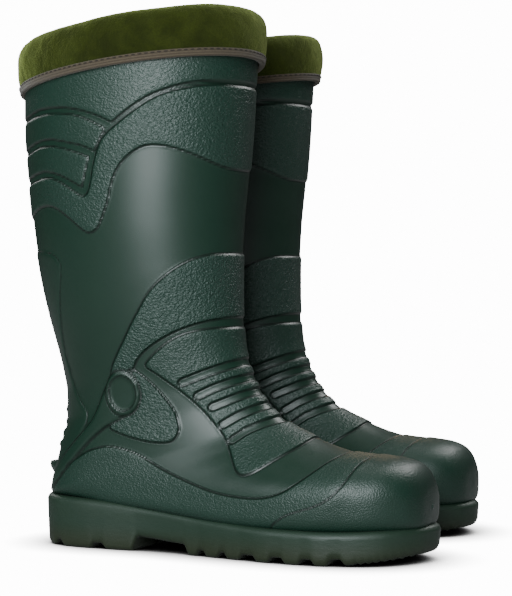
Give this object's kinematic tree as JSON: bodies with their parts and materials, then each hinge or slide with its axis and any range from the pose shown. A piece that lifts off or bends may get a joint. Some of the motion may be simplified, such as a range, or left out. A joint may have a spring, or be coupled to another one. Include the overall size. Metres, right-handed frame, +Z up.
{
  "type": "insulated boots",
  "caption": "Pair of tall moulded foam hunting boots with lugged soles, ribbed insteps and a lift-out plush liner folded over the rim as a taped cuff.",
  "frame": {"origin": "on the floor, under the middle of the pair's bounding box", "axes": "+Z up along the shafts, toes toward -Y, the right boot on the -X side and the left boot on the +X side"},
  "size_m": [0.317, 0.371, 0.4129],
  "materials": {
    "upper_foam": "satin moulded foam, grained and smooth areas",
    "outsole_foam": "satin",
    "plush": "short dense pile",
    "felt": "felt",
    "binding_tape": "ribbed woven tape",
    "thread": "twisted thread"
  },
  "bodies": {
    "right_boot": {"right_upper": "upper_foam", "right_outsole": "outsole_foam", "right_footbed": "felt"},
    "left_boot": {"left_upper": "upper_foam", "left_outsole": "outsole_foam", "left_footbed": "felt"},
    "right_liner": {"right_liner_leg": "plush", "right_liner_foot": "felt", "right_liner_sole": "felt", "right_liner_cuff": "plush", "right_cuff_binding": "binding_tape", "right_binding_stitch": "thread"},
    "left_liner": {"left_liner_leg": "plush", "left_liner_foot": "felt", "left_liner_sole": "felt", "left_liner_cuff": "plush", "left_cuff_binding": "binding_tape", "left_binding_stitch": "thread"}
  },
  "joints": [
    {"name": "left_boot_apart", "type": "slide", "parent": "right_boot", "child": "left_boot", "axis": [1, 0, 0], "range_m": [0, 0.3]},
    {"name": "right_liner_lift", "type": "slide", "parent": "right_boot", "child": "right_liner", "axis": [0, 0, 1], "range_m": [0, 0.38], "deforming": ["right_liner_foot", "right_liner_sole"]},
    {"name": "left_liner_lift", "type": "slide", "parent": "left_boot", "child": "left_liner", "axis": [0, 0, 1], "range_m": [0, 0.38], "deforming": ["left_liner_foot", "left_liner_sole"]}
  ]
}
